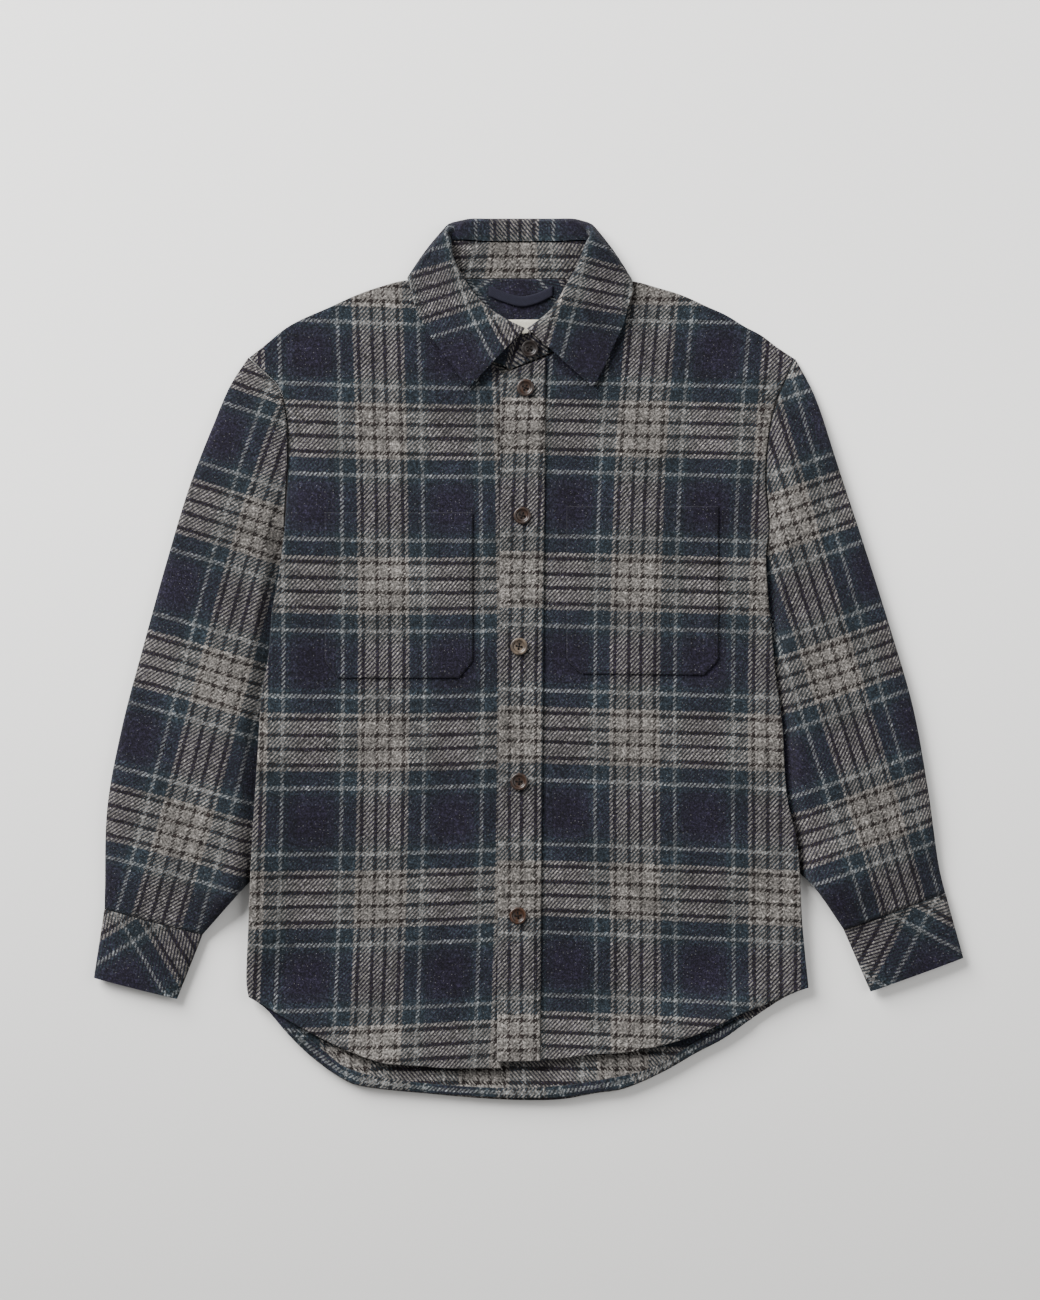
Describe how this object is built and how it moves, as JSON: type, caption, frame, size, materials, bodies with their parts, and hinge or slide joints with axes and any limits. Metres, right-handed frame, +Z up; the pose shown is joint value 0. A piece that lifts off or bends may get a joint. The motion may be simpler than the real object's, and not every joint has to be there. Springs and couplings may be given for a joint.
{
  "type": "shirt jacket",
  "caption": "Heavy wool check shirt jacket laid flat and buttoned up, with a turned-down collar, patch pockets, a front placket and a longer back hem.",
  "frame": {"origin": "on the surface that carries the jacket, under the middle of its outline", "axes": "+X to the right of someone looking down at the jacket, +Y towards the collar, +Z up, away from the surface"},
  "size_m": [0.824, 0.8375, 0.0132],
  "materials": {
    "body_cloth": "matte",
    "front_cloth": "matte",
    "sleeve_cloth": "matte",
    "cuff_cloth": "matte",
    "pocket_cloth": "matte",
    "placket_cloth": "matte",
    "collar_cloth": "matte",
    "stand_cloth": "matte",
    "facing_cloth": "matte",
    "loop_cloth": "matte",
    "label_cotton": "matte",
    "brown_horn": "gloss"
  },
  "bodies": {
    "root": {"back": "body_cloth", "front_left": "front_cloth", "front_right": "front_cloth", "placket": "placket_cloth", "pocket_left": "pocket_cloth", "pocket_right": "pocket_cloth", "sleeve_left": "sleeve_cloth", "sleeve_right": "sleeve_cloth", "cuff_left": "cuff_cloth", "cuff_right": "cuff_cloth", "collar_leaf": "collar_cloth", "collar_stand": "stand_cloth", "hem_facing": "facing_cloth", "hanger_loop": "loop_cloth", "neck_label": "label_cotton", "button_1": "brown_horn", "button_2": "brown_horn", "button_3": "brown_horn", "button_4": "brown_horn", "button_5": "brown_horn", "button_6": "brown_horn"}
  },
  "joints": []
}
